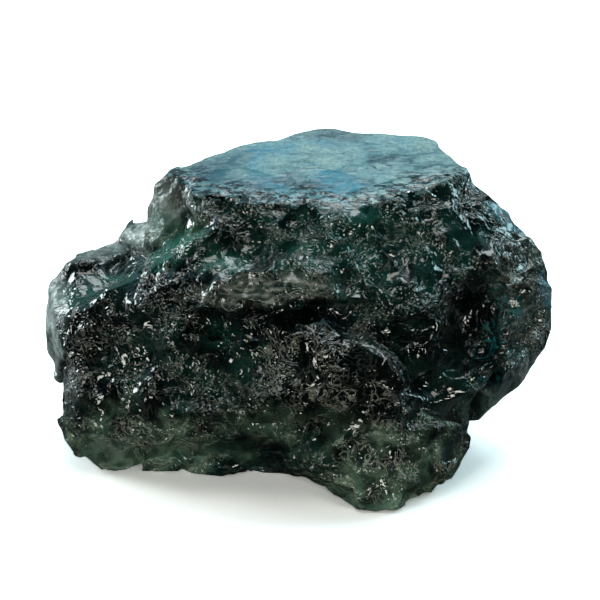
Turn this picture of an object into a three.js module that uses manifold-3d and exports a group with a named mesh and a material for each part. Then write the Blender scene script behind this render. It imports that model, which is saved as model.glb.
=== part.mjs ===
// A rough sapphire: one natural broken crystal of corundum, lying on its flat underside.
// Millimetres, +Z up. The origin is under the middle of the stone, on the surface it lies on.
import * as THREE from "three";
import { ConvexGeometry } from "three/addons/geometries/ConvexGeometry.js";
import { ImprovedNoise } from "three/addons/math/ImprovedNoise.js";
import { mergeVertices } from "three/addons/utils/BufferGeometryUtils.js";
import Module from "manifold-3d";

const wasm = await Module();
wasm.setup();

// Driving dimensions.
const LENGTH = 16; // end to end, along X
const FACE_LEAN = 30; // degrees that the broad broken face leans back from upright
const CROWN = 4.0; // sixteenths of the length, from the middle up to the flat crystal face
const BED = -4.45; // sixteenths of the length, from the middle down to the flat it lies on
const STEP_FLAKES = 420; // tries at a small flat-floored break
const DISH_FLAKES = 130; // tries at a small shell-shaped break
const FLAKE_SEED = 7;
const SHORTEST_EDGE = 0.14; // shorter ones are drawn together
const LONGEST_EDGE = 0.85; // longer ones are split, so that the surface can bend
const HAIRLINE = 0.012; // edges too short to matter, which are drawn together anyhow

// Corners are square-on to the broad broken face: [across, up the face, out of the face],
// in sixteenths of the stone's length.

// Convex masses that the broken crystal is made of, before its scars.
const MASSES = {
  core: [
    [-3.4, 3.75, 1.45], [-3.95, 4.55, 0.1], [-2.4, 5.15, -0.9], [-0.8, 5.7, -1.87],
    [1.1, 6.1, -2.57], [2.0, 5.95, -2.3], [4.2, 5.75, -1.95], [5.3, 4.65, -0.05], [4.0, 4.0, 1.1],
    [1.5, 3.6, 1.75], [-1.7, 3.7, 1.6],
    [-4.4, 2.0, -0.4], [-4.6, 0.5, 0.2], [-3.0, -3.0, 1.6], [3.7, -2.9, 1.6], [5.6, 1.2, 1.0],
    [-2.0, -4.85, -0.4], [3.0, -4.9, 0.4], [5.2, -3.6, -0.6], [5.6, -2.0, 0.4],
    [-4.5, 1.0, -3.4], [-2.0, 3.5, -3.4], [2.5, 4.2, -4.0], [5.5, 2.0, -3.0],
    [-5.3, -4.6, -1.2], [-1.5, -4.85, -0.8], [2.5, -4.8, -0.9], [4.4, -4.3, -1.8],
    [-4.5, -2.9, -4.2], [3.6, -2.9, -4.3],
  ],
  brokenFace: [
    [-7.1, 0.1, 0.9], [-5.0, 1.05, 1.5], [-3.5, 2.1, 1.9], [-2.9, 2.6, 1.9], [-1.8, 3.65, 1.6],
    [1.5, 3.6, 1.75], [3.9, 3.9, 1.2], [6.2, 2.6, 0.8], [6.5, 0.6, 1.0], [5.9, -2.3, 0.9],
    [-7.4, -1.2, 0.6], [-7.0, -2.9, 0.7], [-3.2, -3.05, 2.0], [0.4, -2.7, 2.4], [3.7, -2.9, 2.0],
    [-3.5, 0.8, 2.4], [0.4, 1.3, 2.5], [4.4, 0.7, 2.1],
    [-6.85, 0.4, -1.0], [-3.4, 2.8, -0.8], [-6.0, -2.8, -1.5], [5.5, 1.0, -1.0],
  ],
  leftFlank: [
    [-7.6, -2.2, -0.2], [-7.6, -3.0, -0.3], [-7.5, -3.85, -0.6], [-7.15, -4.4, -0.6],
    [-6.5, -4.7, -0.6], [-5.0, -4.8, -0.5], [-3.3, -4.95, -0.3], [-7.4, -1.0, 0.3],
    [-6.9, -2.4, 0.9], [-3.2, -2.6, 1.9], [-3.0, -3.6, 1.5], [-1.5, -3.9, 1.1],
    [-1.5, -5.0, -0.2], [-6.2, -3.9, 0.3],
    [-5.5, 0.5, -2.6], [-6.4, -3.0, -2.6], [-2.0, -3.0, -1.5],
  ],
  leftEnd: [
    [-7.55, 1.7, -1.2], [-6.65, 2.15, -1.6], [-5.9, 2.5, -2.1], [-4.7, 1.8, -0.8],
    [-7.85, 1.35, -1.3], [-8.05, 0.6, -1.5], [-8.08, -0.3, -1.5], [-7.95, -1.1, -1.3],
    [-7.7, -2.0, -1.1], [-7.0, 1.5, -0.6], [-7.1, 0.0, 0.2], [-7.4, -1.0, 0.3],
    [-4.6, 0.9, -0.3], [-6.2, 0.5, -3.2], [-6.7, -1.5, -2.9], [-3.0, 0.5, -3.9], [-3.5, -2.5, -3.9],
  ],
  rearBump: [
    [-5.4, 3.2, -2.2], [-4.75, 3.65, -2.0], [-5.95, 2.45, -2.0], [-5.0, 2.2, -1.0],
    [-4.4, 3.0, -0.9], [-5.0, 1.5, -3.4], [-3.5, 3.2, -3.2], [-4.0, 1.0, -0.8],
  ],
  shoulder: [
    [-3.4, 4.2, 0.7], [-3.85, 4.75, -0.2], [-4.15, 4.6, 0.0], [-4.6, 4.15, -0.2], [-4.85, 3.4, -0.4],
    [-5.0, 2.4, -0.4], [-4.6, 2.3, 0.3], [-4.1, 2.9, 0.6], [-3.3, 3.6, 1.1],
    [-4.0, 3.6, -2.6], [-2.5, 1.0, -1.0], [-4.8, 1.2, -1.5],
  ],
  rightKnob: [
    [5.35, 4.6, -0.1], [6.3, 3.75, 0.0], [6.7, 3.15, 0.0], [7.05, 2.4, 0.0], [7.65, 1.55, -0.1],
    [7.95, 0.85, 0.0], [8.12, 0.0, 0.1], [8.0, -0.35, 0.1], [7.45, -1.1, 0.0], [7.05, -1.9, -0.2],
    [6.35, -2.65, -0.3], [5.6, -3.25, -0.3], [5.0, 3.0, 1.2], [6.5, 0.9, 1.2], [7.2, 0.3, 0.8],
    [6.4, -1.9, 0.9], [5.0, 1.0, -2.8], [5.2, -2.4, -3.0], [4.0, 4.2, -1.6], [4.0, 2.0, -3.2],
    [4.0, -3.0, -2.2],
  ],
  foot: [
    [-0.4, -4.3, 1.2], [0.8, -4.0, 1.8], [1.6, -2.8, 2.4], [3.6, -2.9, 2.1], [4.9, -3.3, 1.1],
    [5.25, -3.7, 0.4], [5.15, -4.3, 0.2], [4.75, -4.9, 0.3], [3.9, -5.5, 0.6], [3.55, -5.85, 1.1],
    [2.7, -6.15, 1.6], [2.1, -6.0, 1.4], [1.2, -5.35, 0.5], [0.5, -5.05, 0.0], [-0.4, -4.85, 0.1],
    [0.0, -4.0, -1.0], [4.5, -3.6, -1.4], [3.6, -5.2, 2.0], [2.0, -5.2, 1.9],
  ],
  litSlab: [
    [-3.1, 1.0, 2.75], [-2.0, 1.4, 2.9], [0.2, 1.55, 3.0], [0.9, 1.35, 2.9],
    [1.0, 0.7, 2.9], [-0.2, 0.35, 3.1], [-3.0, 0.3, 2.9], [-2.5, 2.1, 1.6], [1.2, 2.1, 1.8],
    [-4.2, 0.2, 1.9], [-2.5, -0.6, 1.9], [2.2, 0.2, 1.8],
  ],
  knuckle: [
    [-1.0, -0.8, 2.7], [0.2, -0.6, 3.05], [1.6, -0.95, 3.1], [2.5, -1.3, 3.05], [3.1, -2.1, 2.85],
    [3.5, -2.8, 2.4], [0.4, -2.4, 3.0], [-1.3, -2.3, 2.7],
    [-3.2, 0.0, 1.9], [0.2, 0.4, 2.2], [2.3, -0.5, 2.0], [3.4, -1.5, 2.0], [3.9, -3.0, 1.9],
    [0.4, -3.3, 2.0], [-3.2, -3.2, 1.7], [0.5, -2.0, 1.0],
  ],
};

// Conchoidal scars: bites of an ellipsoid, [centre], [radii], turn about the line of sight in degrees.
const SCARS = {
  recess: [[-4.0, 2.65, 1.9], [1.0, 0.5, 1.9], 44],
  darkHollow: [[5.45, -0.45, 2.3], [1.05, 1.5, 2.3], 8],
  darkHollowTop: [[5.9, 0.55, 2.2], [0.75, 0.95, 1.8], -20],
  darkHollowFoot: [[5.1, -1.35, 2.4], [0.9, 0.7, 1.8], 30],
  smoothDish: [[3.7, -0.4, 3.2], [1.5, 0.75, 1.5], 0],
  lowerDish: [[4.3, -2.2, 2.95], [1.1, 0.8, 1.5], -25],
  pit: [[0.25, 0.1, 3.3], [0.6, 0.36, 1.5], 20],
  pitSide: [[-0.5, -0.2, 3.3], [0.5, 0.3, 1.2], -25],
  undercut: [[-1.0, -4.0, 2.4], [1.9, 0.65, 1.5], 4],
  cornerBreak: [[4.9, 3.6, 2.4], [1.2, 0.75, 1.5], -35],
  slabGap: [[1.9, 0.9, 3.3], [0.8, 0.45, 1.2], -15],
};

// A ledge along the front of the flat crystal face, one thin layer lower than the rest of it.
const TERRACE = [
  [-1.7, 4.05, 0.8], [-0.6, 4.35, 0.3], [0.4, 4.54, -0.04], [1.6, 4.45, 0.12], [2.4, 4.1, 0.72],
  [2.7, 3.0, 2.6], [-2.2, 3.0, 2.6],
  [-1.7, 4.4, 1.0], [-0.6, 4.7, 0.5], [0.4, 4.89, 0.16], [1.6, 4.8, 0.32], [2.4, 4.45, 0.92],
  [2.7, 3.3, 3.0], [-2.2, 3.3, 3.0],
];

// The crisp edge that the broken face has at its upper left, which no small break blunts.
const RIDGE = [[-7.1, 0.1, 0.9], [-5.0, 1.05, 1.5], [-3.5, 2.1, 1.9], [-2.9, 2.6, 1.9], [-1.8, 3.65, 1.6]];

const vector = (corner) => new THREE.Vector3(...corner);
const lean = THREE.MathUtils.degToRad(FACE_LEAN);
const up = new THREE.Vector3(0, Math.cos(lean), Math.sin(lean)); // the stone's upward direction

// A closed triangle mesh as a solid that can be joined and cut.
function solid(geometry) {
  const bare = geometry.clone();
  bare.deleteAttribute("normal");
  bare.deleteAttribute("uv");
  const merged = mergeVertices(bare, 1e-4);
  const vertProperties = merged.attributes.position.array;
  const triVerts = new Uint32Array(merged.index.array);
  return new wasm.Manifold(new wasm.Mesh({ numProp: 3, vertProperties, triVerts }));
}

const hull = (corners) => solid(new ConvexGeometry(corners.map(vector)));

function bite([centre, radii, turn]) {
  const geometry = new THREE.IcosahedronGeometry(1, 1);
  geometry.scale(...radii);
  geometry.rotateZ(THREE.MathUtils.degToRad(turn));
  geometry.translate(...centre);
  return solid(geometry);
}

// The skin of a solid: its points, and its triangles as index triples.
function skinOf(manifold) {
  const { vertProperties, triVerts, numProp } = manifold.getMesh();
  const points = [];
  for (let i = 0; i < vertProperties.length; i += numProp) {
    points.push(new THREE.Vector3(...vertProperties.subarray(i, i + 3)));
  }
  const faces = [];
  for (let i = 0; i < triVerts.length; i += 3) faces.push([...triVerts.subarray(i, i + 3)]);
  return { points, faces };
}

function geometryOf({ points, faces }) {
  const geometry = new THREE.BufferGeometry().setFromPoints(points);
  geometry.setIndex(faces.flat());
  return geometry;
}

const crossOf = (a, b, c) => b.clone().sub(a).cross(c.clone().sub(a));

// Whether moving the two ends of an edge to one place would turn a triangle beside it over.
function wouldFold({ points, faces }, [a, b], place, beside) {
  return beside.some((i) => {
    const face = faces[i];
    if (face.includes(a) && face.includes(b)) return false;
    const before = crossOf(...face.map((v) => points[v])).normalize();
    const after = crossOf(...face.map((v) => (v === a || v === b ? place : points[v])));
    return after.length() < 1e-3 || after.normalize().dot(before) < 0.6;
  });
}

// Draws together the ends of edges that are too short, wherever the skin stays closed and unfolded.
function drawTogether({ points, faces }, shortest) {
  for (;;) {
    const around = points.map(() => []);
    faces.forEach((face, i) => face.forEach((v) => around[v].push(i)));
    const ringOf = (v) => new Set(around[v].flatMap((i) => faces[i]));
    const edges = faces
      .flatMap(([a, b, c]) => [[a, b], [b, c], [c, a]])
      .filter(([a, b]) => a < b)
      .map(([a, b]) => ({ a, b, size: points[a].distanceTo(points[b]) }))
      .filter(({ size }) => size < shortest)
      .sort((one, other) => one.size - other.size);
    const touched = new Set();
    const gone = new Set();
    for (const { a, b, size } of edges) {
      const [ringA, ringB] = [ringOf(a), ringOf(b)];
      if ([...ringA, ...ringB].some((v) => touched.has(v))) continue;
      const shared = [...ringA].filter((v) => v !== a && v !== b && ringB.has(v));
      if (shared.length !== 2) continue;
      const place = points[a].clone().lerp(points[b], 0.5);
      const beside = [...new Set([...around[a], ...around[b]])];
      if (size > HAIRLINE && wouldFold({ points, faces }, [a, b], place, beside)) continue;
      [...ringA, ...ringB].forEach((v) => touched.add(v));
      points[a] = place;
      for (const i of around[b]) {
        if (faces[i].includes(a)) gone.add(i);
        else faces[i] = faces[i].map((v) => (v === b ? a : v));
      }
    }
    if (gone.size === 0) break;
    faces = faces.filter((_, i) => !gone.has(i));
  }
  const renumbered = new Map();
  const kept = [];
  for (const v of faces.flat()) {
    if (!renumbered.has(v)) renumbered.set(v, kept.push(points[v]) - 1);
  }
  return { points: kept, faces: faces.map((face) => face.map((v) => renumbered.get(v))) };
}

// One triangle, cut at the middles of its edges; a middle of -1 is an edge left whole.
function cutTriangle(corners, middles, points) {
  const cuts = middles.filter((i) => i >= 0).length;
  const [a, b, c] = corners;
  if (cuts === 0) return [corners];
  if (cuts === 3) {
    const [ab, bc, ca] = middles;
    return [[a, ab, ca], [ab, b, bc], [ca, bc, c], middles];
  }
  if (cuts === 1) {
    const k = middles.findIndex((i) => i >= 0);
    const far = corners[(k + 2) % 3];
    return [[corners[k], middles[k], far], [middles[k], corners[(k + 1) % 3], far]];
  }
  const k = middles.findIndex((i) => i < 0); // the whole edge runs from corner k to k + 1
  const [p, q, r] = [corners[k], corners[(k + 1) % 3], corners[(k + 2) % 3]];
  const [qr, rp] = [middles[(k + 1) % 3], middles[(k + 2) % 3]];
  const tip = [qr, r, rp];
  const byP = points[p].distanceTo(points[qr]) < points[q].distanceTo(points[rp]);
  return byP ? [tip, [p, q, qr], [p, qr, rp]] : [tip, [p, q, rp], [q, qr, rp]];
}

// Splits every edge over the longest allowed at its middle, on both of its faces alike.
function split({ points, faces }, longest) {
  for (;;) {
    const middles = new Map();
    const middleOf = (a, b) => {
      const key = a < b ? `${a},${b}` : `${b},${a}`;
      if (!middles.has(key)) {
        const isLong = points[a].distanceTo(points[b]) > longest;
        middles.set(key, isLong ? points.push(points[a].clone().lerp(points[b], 0.5)) - 1 : -1);
      }
      return middles.get(key);
    };
    const before = faces.length;
    faces = faces.flatMap(([a, b, c]) =>
      cutTriangle([a, b, c], [middleOf(a, b), middleOf(b, c), middleOf(c, a)], points),
    );
    if (faces.length === before) return { points, faces };
  }
}

// The same run of numbers from 0 to 1 every time.
let state = FLAKE_SEED;
function random(low = 0, high = 1) {
  state = (state * 1664525 + 1013904223) >>> 0;
  return low + (high - low) * (state / 2 ** 32);
}

const ridgeLines = RIDGE.slice(1).map((end, i) => new THREE.Line3(vector(RIDGE[i]), vector(end)));

function distanceToRidge(point) {
  const nearest = new THREE.Vector3();
  return Math.min(
    ...ridgeLines.map((line) => line.closestPointToPoint(point, true, nearest).distanceTo(point)),
  );
}

// A small break's cutter, lying on z = 0 and reaching a little under it.
function flakeCutter(isStep) {
  const height = 0.5;
  const across = random(0.35, 0.9);
  const along = random(0.6, 1.5);
  const cutter = isStep
    ? new THREE.CylinderGeometry(1.5, 1, 1, 5, 1).rotateX(Math.PI / 2).translate(0, 0, 0.5)
    : new THREE.IcosahedronGeometry(1, 1);
  cutter.scale(across, along, height);
  cutter.rotateX(random(-0.22, 0.22));
  cutter.rotateY(random(-0.22, 0.22));
  cutter.rotateZ(random(0, 2 * Math.PI));
  return cutter.translate(0, 0, isStep ? -random(0.02, 0.13) : height - random(0.11, 0.21));
}

// Small breaks scattered evenly over a solid, off its crown, its ridge and its inner corners.
function flakes(whole) {
  const { points, faces } = split(skinOf(whole), 0.7);
  const skin = faces.map((face) => new THREE.Triangle(...face.map((i) => points[i])));
  const areas = skin.map((triangle) => triangle.getArea());
  const total = areas.reduce((sum, area) => sum + area, 0);
  const outward = new THREE.Vector3(0, 0, 1);
  const cutters = [];
  for (let k = 0; k < STEP_FLAKES + DISH_FLAKES; k++) {
    let left = random(0, total);
    const { a, b, c } = skin[areas.findIndex((area) => (left -= area) <= 0)];
    const [r, s] = [Math.sqrt(random()), random()];
    const place = new THREE.Vector3()
      .addScaledVector(a, 1 - r)
      .addScaledVector(b, r * (1 - s))
      .addScaledVector(c, r * s);
    const normal = crossOf(a, b, c).normalize();
    const cutter = flakeCutter(k < STEP_FLAKES);
    cutter.applyQuaternion(new THREE.Quaternion().setFromUnitVectors(outward, normal));
    cutter.translate(...place.toArray());
    const onCrown = normal.dot(up) > 0.9 && place.dot(up) > CROWN - 0.4;
    const inCorner = points.some((point) => {
      const away = point.clone().sub(place);
      return away.length() < 0.9 && away.dot(normal) > 0.3;
    });
    if (!onCrown && !inCorner && distanceToRidge(place) > 0.75) cutters.push(solid(cutter));
  }
  return wasm.Manifold.union(cutters);
}

const noise = new ImprovedNoise();

// A smoothly wandering vector.
function waver({ x, y, z }, frequency, offset) {
  const [a, b, c] = [x * frequency, y * frequency, z * frequency];
  return new THREE.Vector3(
    noise.noise(a + offset, b, c),
    noise.noise(a, b + offset, c + 5.2),
    noise.noise(a + 9.1, b, c + offset),
  );
}

// Lays what is nearly on the crown or the bed flat on it.
function settle(point) {
  for (const level of [CROWN, BED]) {
    const rise = level - point.dot(up);
    if (Math.abs(rise) < 0.1) point.addScaledVector(up, rise);
  }
}

// Bends the skin irregularly, but keeps the crown and the bed flat and the ridge nearly straight.
function bend(point) {
  const { smoothstep } = THREE.MathUtils;
  const onFace = smoothstep(point.z, 0.8, 2);
  const sideways = 0.06 + 0.14 * onFace;
  const shift = waver(point, 0.4, 3.3).multiply(new THREE.Vector3(0.12, 0.12, 0.5));
  shift.add(waver(point, 1.1, 8.8).multiply(new THREE.Vector3(sideways, sideways, 0.25)));
  const height = point.dot(up);
  const free = smoothstep(Math.min(CROWN - height, height - BED), 0.02, 0.6);
  shift.addScaledVector(up, -shift.dot(up) * (1 - free));
  shift.multiplyScalar(0.1 + 0.9 * smoothstep(distanceToRidge(point), 0, 1.3));
  point.add(shift);
}

let stone = wasm.Manifold.union(Object.values(MASSES).map(hull));
stone = stone.subtract(wasm.Manifold.union(Object.values(SCARS).map(bite)));
stone = stone.subtract(flakes(stone));
const ground = new THREE.BoxGeometry(40, 4, 40).translate(0, BED - 2, 0).rotateX(lean);
stone = stone.subtract(solid(ground));

// The breaks leave a few crumbs loose: the stone is the largest body.
stone = stone.decompose().sort((one, other) => other.volume() - one.volume())[0];

const rough = split(drawTogether(skinOf(stone), SHORTEST_EDGE), LONGEST_EDGE);
rough.points.forEach(settle);
rough.points.forEach(bend);
const ledged = solid(geometryOf(rough)).subtract(hull(TERRACE));

// Laid down on its bed, over the origin and at its full size.
const geometry = geometryOf(drawTogether(skinOf(ledged), 0.04));
geometry.rotateX(Math.PI / 2 - lean);
geometry.computeBoundingBox();
const { min, max } = geometry.boundingBox.clone();
const unit = LENGTH / (max.x - min.x);
geometry.translate(-(min.x + max.x) / 2, -(min.y + max.y) / 2, -min.z);
geometry.scale(unit, unit, unit);
const faceted = geometry.toNonIndexed();
faceted.computeVertexNormals();

const material = new THREE.MeshStandardMaterial({ name: "sapphire", color: 0x12343a, roughness: 0.3 });
const sapphire = new THREE.Mesh(faceted, material);
sapphire.name = "sapphire";

const roughSapphire = new THREE.Group();
roughSapphire.name = "rough_sapphire";
roughSapphire.add(sapphire);

export default roughSapphire;
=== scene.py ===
"""Looks of a rough blue-green sapphire: a broken crystal with a flat crown, lying on a pale floor.

The stone is one natural piece. Its skin is the frame's own solid, cut finer and given the small
ledges, pits and shell-like breaks of fractured corundum, and its finish is a dark crystal that
lets light through where it is thin.
"""

from __future__ import annotations

import logging
import math
from dataclasses import dataclass, field
from enum import Enum

import bpy
import numpy as np
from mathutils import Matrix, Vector
from mathutils.kdtree import KDTree

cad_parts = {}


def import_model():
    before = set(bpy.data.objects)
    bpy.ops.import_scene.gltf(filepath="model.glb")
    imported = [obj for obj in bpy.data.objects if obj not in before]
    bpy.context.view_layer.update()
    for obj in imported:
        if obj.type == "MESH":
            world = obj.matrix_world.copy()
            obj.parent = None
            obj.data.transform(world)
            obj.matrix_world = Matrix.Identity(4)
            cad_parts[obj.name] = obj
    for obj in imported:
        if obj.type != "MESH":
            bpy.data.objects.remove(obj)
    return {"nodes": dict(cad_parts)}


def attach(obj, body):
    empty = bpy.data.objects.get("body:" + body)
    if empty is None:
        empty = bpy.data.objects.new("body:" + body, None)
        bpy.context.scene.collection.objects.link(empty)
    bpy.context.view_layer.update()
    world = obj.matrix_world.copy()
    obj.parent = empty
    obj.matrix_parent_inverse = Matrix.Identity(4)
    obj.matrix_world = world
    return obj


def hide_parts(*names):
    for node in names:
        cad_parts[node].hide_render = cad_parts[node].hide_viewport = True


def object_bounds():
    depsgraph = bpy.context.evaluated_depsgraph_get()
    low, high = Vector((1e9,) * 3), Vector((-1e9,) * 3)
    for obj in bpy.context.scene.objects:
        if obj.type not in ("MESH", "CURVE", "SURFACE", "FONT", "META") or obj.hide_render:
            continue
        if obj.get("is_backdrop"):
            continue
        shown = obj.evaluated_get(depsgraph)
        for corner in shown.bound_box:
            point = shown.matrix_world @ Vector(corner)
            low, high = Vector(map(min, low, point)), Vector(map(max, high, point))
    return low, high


LOG = logging.getLogger("sapphire")
MM = 0.001

# Numbers that the skin carries beside its zones.
FLAT, CROWN, RIM, PAINTED_BRIM_LIGHT = "flat", "crown", "rim", "painted_brim_light"

Triple = tuple[float, float, float]
Range = tuple[float, float]
Socket = bpy.types.NodeSocket
Reading = dict[str, Socket]


# --- where things lie -------------------------------------------------------------------------


@dataclass(frozen=True)
class FaceAxes:
    """The broad broken face's own axes: across it, up it and out of it, in millimetres."""

    origin: Triple = (0.0795, -0.6185, 4.4863)
    lean: float = 30.0
    unit: float = 1.0082

    def axes(self) -> np.ndarray:
        """Gives the three axes.

        Returns:
            One unit vector a row: across, up, out.
        """
        lean = math.radians(self.lean)
        up = (0.0, math.sin(lean), math.cos(lean))
        out = (0.0, -math.cos(lean), math.sin(lean))
        return np.array([(1.0, 0.0, 0.0), up, out])

    def place(self, across: float, up: float, out: float) -> Vector:
        """Turns a place on the face into one in the part's frame.

        Args:
            across: Distance along the stone.
            up: Distance up the leaning face.
            out: Distance out of the face.

        Returns:
            The place in metres.
        """
        shift = np.array([across, up, out]) @ self.axes() * self.unit
        return Vector((np.array(self.origin) + shift) * MM)

    def read(self, points: np.ndarray) -> np.ndarray:
        """Turns points in the part's frame into places on the face.

        Args:
            points: One point a row, in metres.

        Returns:
            Across, up and out of each, in millimetres.
        """
        return (points / MM - np.array(self.origin)) @ self.axes().T / self.unit


class Zone(Enum):
    """What a patch of the skin is like, or where light or shade is painted on it; each is an
    attribute that the finish reads.
    """

    CALM = "calm"
    CRUSHED = "crushed"
    # Green parts, made light to stand partly for light glowing through the thin foot, flank and
    # lower band.
    GREEN = "green"
    TEAL = "teal"
    # Painted shade: the dark hollow, the pit, lines under ledges and the crown's left.
    PAINTED_SHADE = "deep"
    # Painted light: the lit left end, shoulder and rims on a satin face, and lighter spots in
    # shade.
    PAINTED_LIGHT = "pale"
    # Painted sheen on the crown, paler towards its back.
    PAINTED_SHEEN = "painted_sheen"
    # A satin face on the right rim, painted with the crown's blues as a lit rim.
    SATIN_LIT_RIM = "satin"
    # The slab under the crown and the knob's edge: ribs, painted light and painted bright streaks.
    LIT_STREAK = "lit_streak"
    LEDGE = "ledge"
    # Painted turquoise glints on the knob.
    PAINTED_GLINT = "painted_glint"
    # Painted glow: green light seen through the stone.
    WINDOW = "painted_glow"


@dataclass(frozen=True)
class Patch:
    """An egg-shaped region of the skin, square-on to the broken face."""

    centre: Triple
    radii: Triple
    strength: float = 1.0
    turn: float = 0.0
    soft: float = 0.35

    def weigh(self, places: np.ndarray) -> np.ndarray:
        """Says how far each place is inside the patch.

        Args:
            places: Across, up and out, one place a row.

        Returns:
            From 0 outside to the patch's strength inside.
        """
        turn = math.radians(self.turn)
        away = places - np.array(self.centre)
        across = away[:, 0] * math.cos(turn) + away[:, 1] * math.sin(turn)
        up = away[:, 1] * math.cos(turn) - away[:, 0] * math.sin(turn)
        spread = np.stack([across, up, away[:, 2]], axis=1) / np.array(self.radii)
        wobble = 0.16 * np.sin(places @ np.array([2.9, 3.7, 2.1]))
        wobble += 0.12 * np.sin(places @ np.array([-5.3, 4.1, 3.3]) + 1.0)
        reach = np.linalg.norm(spread, axis=1) + wobble
        inside = held((1.0 + self.soft - reach) / (2.0 * self.soft))
        return inside * inside * (3.0 - 2.0 * inside) * self.strength


# --- node helpers -----------------------------------------------------------------------------


class Nodes:
    """Adds nodes to a tree in few words."""

    def __init__(self, tree: bpy.types.NodeTree) -> None:
        """Keeps the tree."""
        self.tree = tree
        self.column = 0

    @classmethod
    def bare(cls, owner: bpy.types.Material | bpy.types.World) -> Nodes:
        """Clears a material's or a world's own nodes.

        Args:
            owner: The material or the world.

        Returns:
            Its empty tree, ready for nodes.
        """
        owner.use_nodes = True
        owner.node_tree.nodes.clear()
        return cls(owner.node_tree)

    def add(self, kind: str, inputs: dict | None = None, **settings: object) -> bpy.types.Node:
        """Adds one node.

        Args:
            kind: Blender's name for the node type.
            inputs: What goes into each socket, a value or another node's output.
            **settings: Properties of the node.

        Returns:
            The node.
        """
        node = self.tree.nodes.new(kind)
        self.column += 1
        node.location = (180 * (self.column % 24), -260 * (self.column // 24))
        for name, value in settings.items():
            setattr(node, name, value)
        for name, value in (inputs or {}).items():
            self.feed(node.inputs[name], value)
        return node

    def feed(self, socket: Socket, value: object) -> None:
        """Links an output into a socket, or sets its value.

        Args:
            socket: The socket that is fed.
            value: What it gets.
        """
        if isinstance(value, Socket):
            self.tree.links.new(value, socket)
        else:
            socket.default_value = value

    def math(self, operation: str, *values: object, clamp: bool = False) -> Socket:
        """Adds a Math node.

        Args:
            operation: What it works out.
            *values: Its inputs in order.
            clamp: Whether the result is held between 0 and 1.

        Returns:
            Its output.
        """
        node = self.add("ShaderNodeMath", dict(enumerate(values)), operation=operation)
        node.use_clamp = clamp
        return node.outputs[0]

    def times(self, *values: object) -> Socket:
        """Multiplies values.

        Args:
            *values: The values in order.

        Returns:
            Their product.
        """
        product = values[0]
        for value in values[1:]:
            product = self.math("MULTIPLY", product, value)
        return product

    def less(self, whole: object, part: object, clamp: bool = False) -> Socket:
        """Takes a part from a whole."""
        return self.math("SUBTRACT", whole, part, clamp=clamp)

    def vector(self, operation: str, *values: object, scale: object = None) -> Socket:
        """Adds a Vector Math node.

        Args:
            operation: What it works out.
            *values: Its vector inputs in order.
            scale: Its scale input, where it has one.

        Returns:
            Its output: a value for a length, a vector otherwise.
        """
        node = self.add("ShaderNodeVectorMath", dict(enumerate(values)), operation=operation)
        if scale is not None:
            self.feed(node.inputs["Scale"], scale)
        return node.outputs["Value" if operation == "LENGTH" else "Vector"]

    def noise(self, place: object, per_mm: object, detail: float, rough: float = 0.5) -> Socket:
        """Adds a Noise texture.

        Args:
            place: The position, in millimetres.
            per_mm: How many of its blots there are in a millimetre.
            detail: How many finer grades ride on the first.
            rough: How strong the finer grades are.

        Returns:
            Its value, from 0 to 1.
        """
        inputs = {"Vector": place, "Scale": per_mm, "Detail": detail, "Roughness": rough}
        return self.add("ShaderNodeTexNoise", inputs).outputs["Fac"]

    def ramp(self, value: object, low: float, high: float, to: Range = (0.0, 1.0)) -> Socket:
        """Maps a value smoothly from one range to another.

        Args:
            value: What is mapped.
            low: Where the new range starts.
            high: Where it ends.
            to: The new range.

        Returns:
            The mapped value.
        """
        inputs = {"Value": value, "From Min": low, "From Max": high}
        inputs.update({"To Min": to[0], "To Max": to[1]})
        node = self.add("ShaderNodeMapRange", inputs, interpolation_type="SMOOTHSTEP")
        return node.outputs["Result"]

    def blend(self, factor: object, first: object, second: object) -> Socket:
        """Mixes two colours.

        Args:
            factor: How much of the second shows.
            first: The colour underneath.
            second: The colour on top.

        Returns:
            The mixed colour.
        """
        node = self.add("ShaderNodeMix", {0: factor, 6: first, 7: second}, data_type="RGBA")
        return node.outputs[2]


def add_fracture(
    nodes: Nodes, place: object, per_mm: object, detail: object, warp: object
) -> tuple[Socket, Socket, Socket]:
    """Adds a field of smooth shell-like breaks that meet in sharp crests.

    Args:
        nodes: Where the nodes go: a shader or a geometry tree.
        place: The position, in millimetres.
        per_mm: How many breaks there are in a millimetre.
        detail: How many finer grades of break ride on the first.
        warp: How far the crests swirl, in millimetres.

    Returns:
        The height, from 0 to about 1, the swirl that bends the crests, and the bent position.
    """
    swirl = nodes.add("ShaderNodeTexNoise", {"Vector": place, "Scale": 0.9, "Detail": 1.0})
    stray = nodes.vector("SUBTRACT", swirl.outputs["Color"], (0.5, 0.5, 0.5))
    bent = nodes.vector("ADD", place, nodes.vector("SCALE", stray, scale=warp))
    inputs = {"Vector": bent, "Scale": per_mm, "Detail": detail, "Roughness": 0.55}
    inputs.update({"Lacunarity": 2.2, "Offset": 0.9, "Gain": 1.6})
    crests = nodes.add(
        "ShaderNodeTexNoise", inputs, noise_type="RIDGED_MULTIFRACTAL", normalize=False
    )
    return crests.outputs["Fac"], swirl.outputs["Color"], bent


def add_lines(nodes: Nodes, place: object, per_mm: object, width: object) -> Socket:
    """Adds thin curling lines, as along the lips of small breaks.

    Args:
        nodes: Where the nodes go.
        place: The position, in millimetres.
        per_mm: How many curls there are in a millimetre.
        width: How wide a line is, as a share of the noise's range.

    Returns:
        From 0 off the lines to 1 on them.
    """
    off = nodes.math("ABSOLUTE", nodes.less(nodes.noise(place, per_mm, 3.0, 0.6), 0.5))
    return nodes.less(1.0, nodes.math("DIVIDE", off, width), clamp=True)


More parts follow.
